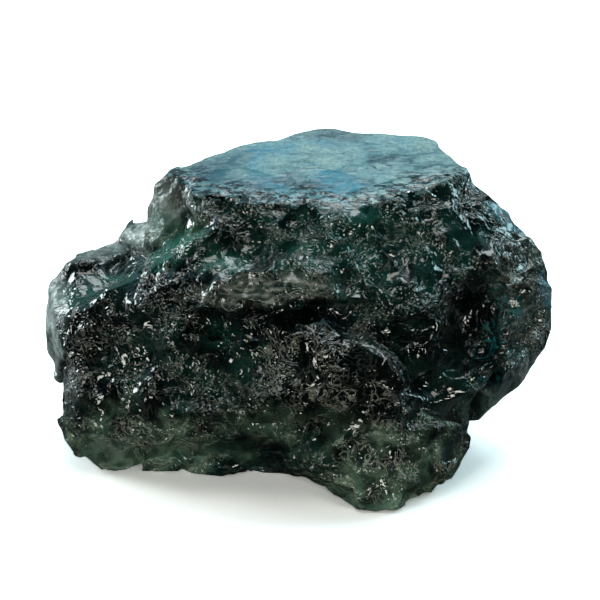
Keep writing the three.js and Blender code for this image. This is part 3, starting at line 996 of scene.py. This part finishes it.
# Each zone's patches: centre and radii across, up and out of the face, in mm, and strength.
PATCHES: dict[Zone, tuple[Patch, ...]] = {
    Zone.CALM: (
        Patch((5.1, 2.4, 0.6), (1.3, 0.9, 1.6), 0.7),
        Patch((3.6, -0.5, 2.0), (1.3, 0.6, 1.5), 0.6),
        Patch((0.5, 5.4, -2.2), (6.0, 1.3, 2.8)),
        Patch((-1.0, 0.85, 2.9), (2.0, 0.42, 0.9), 0.6, turn=4),
        Patch((-3.7, 1.9, 1.4), (0.7, 0.45, 1.0), 0.7, turn=35),
        Patch((1.9, 3.1, 1.7), (0.8, 0.6, 1.0), 0.6),
        Patch((-2.4, -1.2, 2.6), (0.8, 0.35, 1.0), 0.7, turn=-10),
        Patch((-4.1, 3.7, 0.8), (0.9, 1.0, 1.8), 0.7),
        Patch((4.3, -2.2, 1.6), (1.1, 0.8, 1.5), turn=-25),
        Patch((5.5, -0.3, 0.6), (0.9, 1.3, 1.2), 0.7),
        Patch((5.9, -2.5, -0.4), (0.8, 0.9, 1.8), 0.9),
        Patch((-6.0, 1.0, -0.4), (1.9, 0.8, 1.8), 0.8, turn=20),
        Patch((-5.3, 2.9, -1.8), (1.2, 1.0, 1.6), 0.8),
        Patch((-4.1, 3.1, 0.0), (1.0, 1.3, 1.4), 0.6, turn=-15),
        Patch((-8.0, -0.3, -1.2), (0.8, 2.0, 2.0), 0.8),
    ),
    Zone.CRUSHED: (
        Patch((3.2, 1.6, -4.8), (3.2, 2.2, 1.7), 0.8),
        Patch((-3.2, 0.4, -4.6), (2.6, 1.4, 1.6), 0.9),
        Patch((-1.0, 0.9, 2.9), (2.2, 0.6, 0.9), turn=4),
        Patch((0.8, -1.7, 2.9), (2.5, 1.4, 1.2), turn=-12),
        Patch((-4.8, -1.6, 1.6), (2.2, 1.4, 1.5), 0.6),
        Patch((2.8, -4.6, 1.8), (2.0, 1.3, 1.4)),
        Patch((-5.0, -3.6, 1.4), (2.2, 0.9, 1.4), 0.8),
        Patch((-6.6, 0.2, 0.8), (1.0, 2.6, 1.2), 0.6),
    ),
    # Green parts made light to stand partly for light glowing through the thin foot, flank and
    # lower band.
    Zone.GREEN: (
        Patch((0.0, -1.4, -5.0), (4.6, 1.3, 1.8)),
        Patch((2.6, -4.9, 1.0), (2.6, 1.6, 2.2)),
        Patch((-4.9, -4.0, 0.0), (2.8, 1.3, 2.4)),
        Patch((-3.6, 2.7, 0.6), (1.2, 0.8, 1.4), 0.5, turn=45),
        Patch((-4.2, 3.4, 0.2), (0.8, 1.5, 1.5), turn=-15),
        Patch((-0.5, -3.3, 1.4), (2.6, 0.7, 1.6), 0.5),
    ),
    Zone.TEAL: (
        Patch((-1.8, 2.6, -4.6), (3.4, 1.4, 1.7)),
        Patch((6.0, -0.5, -3.6), (1.8, 2.0, 1.7), 0.8),
        Patch((1.5, 2.2, 2.2), (3.6, 1.7, 2.0), soft=0.5),
        Patch((-6.0, 1.0, -0.4), (1.9, 0.8, 1.8), 0.8, turn=20),
        Patch((-3.5, -1.6, 2.2), (2.6, 1.6, 1.6), 0.5, soft=0.5),
        Patch((6.6, -0.6, -0.6), (0.6, 1.4, 1.4)),
        Patch((-5.6, -4.2, 0.0), (1.8, 1.0, 2.0), 0.6),
        Patch((5.7, -2.9, 0.0), (0.8, 0.9, 2.0)),
        Patch((-3.6, 2.7, 0.6), (1.2, 0.8, 1.4), turn=45),
    ),
    # Painted shade: the dark hollow, the pit at the centre, dark lines under ledges and along the
    # ridge, the left block and the crown's left.
    Zone.PAINTED_SHADE: (
        Patch((5.5, -0.4, 0.4), (1.0, 1.6, 1.6)),
        Patch((-6.0, 1.2, -0.6), (1.3, 0.9, 1.8), 0.8),
        Patch((0.25, 0.05, 1.9), (0.6, 0.4, 0.8)),
        Patch((-1.6, 0.08, 2.6), (2.2, 0.16, 1.2), turn=3, soft=0.5),
        Patch((-4.9, 0.6, 1.4), (1.6, 0.35, 1.2), 0.8, turn=38, soft=0.5),
        Patch((3.0, -1.9, 2.2), (1.2, 0.35, 1.4), 0.9, turn=-35, soft=0.5),
        Patch((-3.2, 4.7, 0.2), (1.8, 1.6, 2.5), turn=25, soft=0.6),
        Patch((-6.7, 1.5, -1.0), (1.0, 0.16, 1.0), turn=12, soft=0.5),
    ),
    # Painted light: the lit left end, rear bump, left shoulder and top of the left block, and
    # lighter spots in the shaded slot and at the lower left.
    Zone.PAINTED_LIGHT: (
        Patch((5.7, -2.9, 0.0), (0.6, 0.8, 2.0), 0.3),
        Patch((-5.9, -4.3, 0.6), (1.0, 0.7, 1.4), 0.25),
        Patch((-8.1, -0.2, -1.0), (0.8, 2.1, 1.9)),
        Patch((-5.3, 2.9, -1.8), (0.9, 0.9, 1.4), 0.9),
        Patch((-4.6, 3.3, -0.3), (0.5, 1.3, 1.0), turn=-15),
        Patch((-4.1, 3.5, 0.3), (0.6, 1.0, 1.1), turn=-15),
        Patch((-6.6, 2.1, -1.6), (1.4, 0.4, 1.4), 0.9, turn=10),
    ),
    # Painted sheen on the crown: paler towards its back, and a light line along its upper step.
    Zone.PAINTED_SHEEN: (
        Patch((0.4, 4.9, -0.4), (1.9, 0.5, 2.5), turn=10, soft=0.6),
        Patch((1.0, 5.9, -2.0), (5.0, 0.5, 2.5), 0.8, soft=0.6),
        Patch((2.6, 3.75, 1.8), (1.4, 0.22, 1.0), 0.7, soft=0.5),
        Patch((4.2, 4.8, -0.4), (2.4, 1.3, 2.4), soft=0.6),
    ),
    # Satin faces on the right rim, painted as a lit rim.
    Zone.SATIN_LIT_RIM: (
        Patch((6.0, 3.65, -0.35), (1.8, 0.42, 0.7), 0.8, turn=-49),
        Patch((7.6, 1.0, -0.2), (1.6, 0.4, 0.7), 0.6, turn=-70),
    ),
    # The lit slab under the crown and the knob's right edge: painted light and streaks, over raised
    # ribs.
    Zone.LIT_STREAK: (
        Patch((-1.0, 0.85, 2.9), (2.0, 0.42, 0.9), 0.8, turn=4),
        Patch((7.0, 0.6, 0.5), (1.0, 1.8, 1.0), 0.4),
    ),
    Zone.LEDGE: (
        Patch((3.4, 4.3, 0.5), (2.6, 1.0, 2.2), turn=8, soft=0.5),
        Patch((-0.5, 4.1, 0.8), (2.6, 0.7, 1.6), 0.7, soft=0.5),
    ),
    # Painted turquoise glints on the knob and the dark hollow's rim.
    Zone.PAINTED_GLINT: (
        Patch((6.4, -0.6, 0.2), (0.8, 1.7, 1.4), turn=-10, soft=0.5),
        Patch((5.4, -1.6, 0.8), (1.0, 0.5, 1.2), 0.6, soft=0.5),
    ),
    # Painted glow: green light seen through the stone at the recess, the left block and the upper
    # front.
    Zone.WINDOW: (
        Patch((-3.8, 2.1, 1.0), (1.1, 0.45, 1.6), 0.9, turn=35),
        Patch((-4.3, 2.7, 0.2), (0.7, 0.6, 1.2), 0.5, soft=0.5),
        Patch((-6.2, 1.0, 0.3), (1.1, 0.4, 1.6), 0.6, turn=15),
        Patch((0.5, 2.1, 2.2), (0.6, 0.25, 1.0), 0.45, soft=0.5),
        Patch((2.0, 1.9, 2.2), (0.7, 0.4, 1.0), 0.45, soft=0.5),
        Patch((-2.4, 1.6, 2.2), (0.8, 0.3, 1.0), 0.45, soft=0.5),
    ),
}


@dataclass
class RoughStone:
    """The sapphire: the frame's solid with a fine skin, its relief and its finish."""

    node: str = "sapphire"
    slot: str = "sapphire"
    longest_edge: float = 0.13
    crown_depth: float = 0.16
    crown_blend: float = 0.05
    crown_stray: float = 0.26
    crown_even: float = 0.75
    flank_depths: float = 4.0
    front_edge: float = 2.0
    edge_width: float = 0.1
    edge_ragged: float = 0.4
    edge_blend: float = 0.25
    corner_width: float = 0.9
    rim_width: float = 1.15
    brim_width: float = 0.5
    bed_depth: float = 0.12
    facing_blend: float = 0.3
    soften_rounds: int = 10
    soften_share: float = 0.6
    corner: Patch = Patch((5.0, 3.7, 1.0), (1.5, 0.7, 1.5), turn=20, soft=0.5)
    crease: float = 32.0
    axes: FaceAxes = FaceAxes()
    relief: BrokenRelief = field(default_factory=BrokenRelief)
    finish: CrystalFinish = CrystalFinish()
    patches: dict[Zone, tuple[Patch, ...]] = field(default_factory=lambda: dict(PATCHES))

    def skin(self, source: bpy.types.Object) -> bpy.types.Object:
        """Copies the frame's solid and cuts its triangles down to a fine, even skin.

        Args:
            source: The frame's solid, which is only read.

        Returns:
            The new piece.
        """
        points, same = np.unique(points_of(source.data), axis=0, return_inverse=True)
        source.data.calc_loop_triangles()
        loose = np.empty(len(source.data.loop_triangles) * 3, np.int32)
        source.data.loop_triangles.foreach_get("vertices", loose)
        skin = FineSkin(points, same.reshape(-1)[loose].reshape(-1, 3))
        skin.cut_finer(self.longest_edge * MM)
        return stand("sapphire_stone", skin.mesh("sapphire_skin"))

    def soften(self, piece: bpy.types.Object) -> None:
        """Rounds the skin off where it is calm.

        Args:
            piece: The stone, marked.
        """
        mesh = piece.data
        points = points_of(mesh)
        count = len(points)
        ends = np.empty(len(mesh.edges) * 2, np.int32)
        mesh.edges.foreach_get("vertices", ends)
        first, second = ends.reshape(-1, 2).T
        near = np.bincount(ends, minlength=count)[:, None]
        share = np.zeros((count, 1))
        for name in (Zone.CALM.value, FLAT):
            calm = np.empty(count, np.float32)
            mesh.attributes[name].data.foreach_get("value", calm)
            share = np.maximum(share, self.soften_share * calm[:, None])
        share *= points[:, 2:] > self.bed_depth * MM
        for _ in range(self.soften_rounds):
            total = np.zeros_like(points)
            for axis in range(3):
                total[:, axis] += np.bincount(first, points[second, axis], count)
                total[:, axis] += np.bincount(second, points[first, axis], count)
            points += share * (total / near - points)
        put_points(mesh, points)
        mesh.update()

    def mark(self, piece: bpy.types.Object) -> None:
        """Writes on the skin which zone each part of it is in, and evens out the crown.

        Args:
            piece: The stone.
        """
        mesh = piece.data
        points = points_of(mesh)
        places = self.axes.read(points)
        height = points[:, 2] / MM
        low = height.max() - height
        crown = held((self.crown_depth - low) / self.crown_blend)
        below = (crown < 0.5) & (low < self.flank_depths * self.crown_depth)
        inland = self.reach(points / MM, crown > 0.0, below)
        broken = self.corner.weigh(places)
        front = held(self.front_edge - points[:, 1] / MM)
        ragged = 0.5 + 0.5 * np.sin(points @ np.array([2300.0, 3100.0, 0.0]))
        ragged *= 0.5 + 0.5 * np.sin(points @ np.array([-3700.0, 1900.0, 0.0]) + 2.0)
        edge = self.edge_width + self.edge_ragged * ragged + self.corner_width * broken
        safe = np.maximum(held((inland - edge) / self.edge_blend), 1.0 - front)
        crown = crown * held(1.0 - broken * (0.5 + ragged))
        put_points(mesh, self.even_out(points, low, crown * safe, inland))
        values = {
            zone.value: np.max([patch.weigh(places) for patch in patches], axis=0)
            for zone, patches in self.patches.items()
        }
        facing = self.facing(mesh)
        # The painted light and the satin lit rim stay on points that look out of the face or
        # sideways.
        for zone in (Zone.PAINTED_LIGHT, Zone.SATIN_LIT_RIM):
            values[zone.value] *= facing
        values[CROWN] = crown
        # Painted rim light along the crown's edges away from the front.
        values[PAINTED_BRIM_LIGHT] = crown * (1.0 - front) * held(1.0 - inland / self.brim_width)
        values[RIM] = crown * front * held(1.0 - inland / self.rim_width)
        values[FLAT] = np.maximum(crown * safe * 0.9, held(1.0 - height / self.bed_depth))
        for name, value in values.items():
            attribute = mesh.attributes.new(name, "FLOAT", "POINT")
            attribute.data.foreach_set("value", value.astype(np.float32))

    def even_out(
        self, points: np.ndarray, low: np.ndarray, share: np.ndarray, inland: np.ndarray
    ) -> np.ndarray:
        """Flattens the crown, and lets its fine net of edges stray sideways.

        Args:
            points: The skin's points, in metres.
            low: How far each lies under the highest, in millimetres.
            share: How much of each one's step up to the crown's level is made.
            inland: How far each lies from the crown's edge, in millimetres.

        Returns:
            The moved points.
        """
        stray = self.crown_stray * held(inland - 0.2) * MM
        points[:, 0] += stray * np.sin(points[:, 1] * 2900.0 + 1.7 * np.sin(points[:, 0] * 2100.0))
        points[:, 1] += stray * np.sin(points[:, 0] * 2500.0 + 1.3 * np.sin(points[:, 1] * 4100.0))
        points[:, 2] += self.crown_even * share * low * MM
        return points

    def facing(self, mesh: bpy.types.Mesh) -> np.ndarray:
        """Says which points look out of the broken face or sideways.

        Args:
            mesh: The skin.

        Returns:
            From 0 for points that look back to 1.
        """
        normals = np.empty(len(mesh.vertices) * 3)
        mesh.vertex_normals.foreach_get("vector", normals)
        return held(normals.reshape(-1, 3) @ self.axes.axes()[2] / self.facing_blend + 1.0)

    @staticmethod
    def reach(points: np.ndarray, inside: np.ndarray, outside: np.ndarray) -> np.ndarray:
        """Says how far each inside point lies from the nearest outside one.

        Args:
            points: All points, in millimetres.
            inside: Which are asked about.
            outside: Which are measured to.

        Returns:
            The distance of each point, and 0 where it isn't inside.
        """
        tree = KDTree(int(outside.sum()))
        for index, point in enumerate(points[outside]):
            tree.insert(point, index)
        tree.balance()
        far = np.zeros(len(points))
        far[inside] = [tree.find(point)[2] for point in points[inside]]
        return far

    def build(self, source: bpy.types.Object, box: tuple) -> bpy.types.Object:
        """Makes the stone.

        Args:
            source: The frame's solid.
            box: Its lowest and highest corners, in metres.

        Returns:
            The finished piece.
        """
        piece = self.skin(source)
        self.mark(piece)
        self.soften(piece)
        material = self.finish.material()
        piece.data.materials.append(material)
        self.relief.raise_on(piece, material, box)
        piece.data.shade_smooth()
        piece.data.set_sharp_from_angle(angle=math.radians(self.crease))
        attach(piece, "root")
        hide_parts(self.node)
        return piece


# --- the studio -------------------------------------------------------------------------------


@dataclass(frozen=True)
class Softbox:
    """A square soft light that looks at the stone."""

    name: str
    place: Triple
    side: float
    glow: float
    colour: Triple = (1.0, 1.0, 1.0)

    def hang(self, aim: Vector) -> bpy.types.Object:
        """Hangs the light.

        Args:
            aim: What it points at, in metres.

        Returns:
            The light.
        """
        lamp = bpy.data.lights.new(self.name, "AREA")
        lamp.size = self.side * MM
        lamp.energy = self.glow * math.pi * lamp.size**2
        lamp.color = self.colour
        light = stand(self.name, lamp)
        light.location = Vector(self.place) * MM
        light.rotation_euler = (aim - light.location).to_track_quat("-Z", "Y").to_euler()
        return light


@dataclass
class Studio:
    """A pale floor, soft lights and the camera."""

    floor_side: float = 4000.0
    # The floor's tone in a mirror, in front of the stone and behind it, and where it turns.
    floor_tones: Range = (0.02, 0.75)
    floor_turn: Range = (-7.0, 12.0)
    # The floor's tone and glow to the camera, by the stone and far off, and where it turns.
    floor_lift: float = 2.25
    floor_glows: Range = (0.15, 1.0)
    glow_turn: Range = (45.0, 180.0)
    # The sky's glow in a mirror, in front and behind, and how far back and up it turns.
    sky: Triple = (0.50, 0.88, 1.0)
    sky_glows: Range = (0.012, 0.53)
    sky_back: Range = (-0.1, 0.5)
    sky_up: Range = (0.1, 0.45)
    camera_distance: float = 180.0
    view_width: float = 18.866
    aim_up: float = 0.53
    sensor: float = 36.0
    camera_reach: Range = (0.01, 20.0)
    axes: FaceAxes = FaceAxes()
    lights: tuple[Softbox, ...] = (
        Softbox("high_behind", (22.0, 74.0, 120.0), 80.0, 3.8, (0.92, 0.99, 1.0)),
        Softbox("overhead", (-10.0, -6.0, 120.0), 50.0, 2.9, (1.0, 1.0, 0.94)),
        Softbox("left", (-120.0, 60.0, 40.0), 50.0, 12.5, (0.9, 1.0, 1.0)),
        Softbox("right", (110.0, 60.0, 60.0), 56.0, 5.6, (0.62, 0.93, 1.0)),
        Softbox("front_fill", (-45.0, -90.0, 140.0), 26.0, 3.0, (0.97, 0.99, 0.90)),
        Softbox("low_left", (-90.0, -110.0, 30.0), 40.0, 7.6, (0.99, 0.98, 0.88)),
        Softbox("low_right", (80.0, -120.0, 34.0), 36.0, 8.0, (0.99, 0.98, 0.88)),
    )

    def lay_floor(self) -> bpy.types.Object:
        """Lays the floor under the stone: burnt out to white, but not mirrored so by the stone.

        Returns:
            The floor.
        """
        half = 0.5 * self.floor_side * MM
        mesh = bpy.data.meshes.new("floor")
        corners = [(-half, -half, 0.0), (half, -half, 0.0), (half, half, 0.0), (-half, half, 0.0)]
        mesh.from_pydata(corners, [], [(0, 1, 2, 3)])
        floor = stand("floor", mesh)
        material = bpy.data.materials.new("pale_floor")
        nodes = Nodes.bare(material)
        path = nodes.add("ShaderNodeLightPath").outputs
        seen = nodes.math("MAXIMUM", path["Is Camera Ray"], path["Is Transmission Ray"])
        place = nodes.add("ShaderNodeTexCoord").outputs["Object"]
        back = nodes.add("ShaderNodeSeparateXYZ", {"Vector": place}).outputs["Y"]
        low, high = self.floor_turn
        tone = nodes.ramp(back, low * MM, high * MM, to=self.floor_tones)
        tone = nodes.blend(seen, tone, (self.floor_lift,) * 3 + (1.0,))
        matt = nodes.add("ShaderNodeBsdfDiffuse", {"Color": tone})
        near, far = self.glow_turn
        shine = nodes.ramp(nodes.vector("LENGTH", place), near * MM, far * MM, to=self.floor_glows)
        glow = nodes.add("ShaderNodeEmission", {"Strength": nodes.times(seen, shine)})
        both = nodes.add("ShaderNodeAddShader", {0: matt.outputs[0], 1: glow.outputs[0]})
        nodes.add("ShaderNodeOutputMaterial", {"Surface": both.outputs[0]})
        mesh.materials.append(material)
        floor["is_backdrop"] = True
        return floor

    def light(self) -> None:
        """Lights the stone."""
        world = bpy.data.worlds.new("soft_tent")
        bpy.context.scene.world = world
        nodes = Nodes.bare(world)
        way = nodes.add("ShaderNodeTexCoord").outputs["Generated"]
        split = nodes.add("ShaderNodeSeparateXYZ", {"Vector": way}).outputs
        back = nodes.ramp(split["Y"], *self.sky_back)
        back = nodes.times(back, nodes.ramp(split["Z"], *self.sky_up))
        glow = nodes.ramp(back, 0.0, 1.0, to=self.sky_glows)
        sky = nodes.add("ShaderNodeBackground", {"Color": self.sky + (1.0,), "Strength": glow})
        bare = nodes.add("ShaderNodeBackground", {"Color": (1.0, 1.0, 1.0, 1.0), "Strength": 1.0})
        seen = nodes.add("ShaderNodeLightPath").outputs["Is Camera Ray"]
        both = nodes.add("ShaderNodeMixShader", {0: seen, 1: sky.outputs[0], 2: bare.outputs[0]})
        nodes.add("ShaderNodeOutputWorld", {"Surface": both.outputs[0]})
        for box in self.lights:
            box.hang(self.axes.place(0.0, 0.0, 0.0))

    def film(self) -> bpy.types.Object:
        """Sets the camera square-on to the broken face.

        Returns:
            The camera.
        """
        lens = bpy.data.cameras.new("camera")
        lens.sensor_width = self.sensor
        lens.lens = self.sensor * self.camera_distance / self.view_width
        lens.clip_start, lens.clip_end = self.camera_reach
        camera = stand("camera", lens)
        out = Vector(self.axes.axes()[2])
        camera.location = self.axes.place(0.0, self.aim_up, 0.0) + out * self.camera_distance * MM
        camera.rotation_euler = (-out).to_track_quat("-Z", "Y").to_euler()
        bpy.context.scene.camera = camera
        bpy.context.scene.view_settings.view_transform = "Standard"
        return camera


def box_of(bounds: object) -> list[list[float]]:
    """Writes a box as plain lists of numbers."""
    return [[float(number) for number in corner] for corner in bounds]


def main() -> None:
    """Builds the scene piece by piece, keeping the stone's relief inside the model's bounds."""
    logging.basicConfig(level=logging.INFO, format="%(name)s: %(message)s")
    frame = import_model()
    solid_box = box_of(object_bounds())
    studio = Studio()
    studio.film()
    LOG.info("camera set")
    stone = RoughStone()
    piece = stone.build(frame["nodes"][stone.node], tuple(Vector(at) for at in solid_box))
    LOG.info("%s: %d triangles", piece.name, len(piece.data.polygons))
    studio.lay_floor()
    studio.light()
    LOG.info("studio set")


if __name__ == "__main__":
    main()
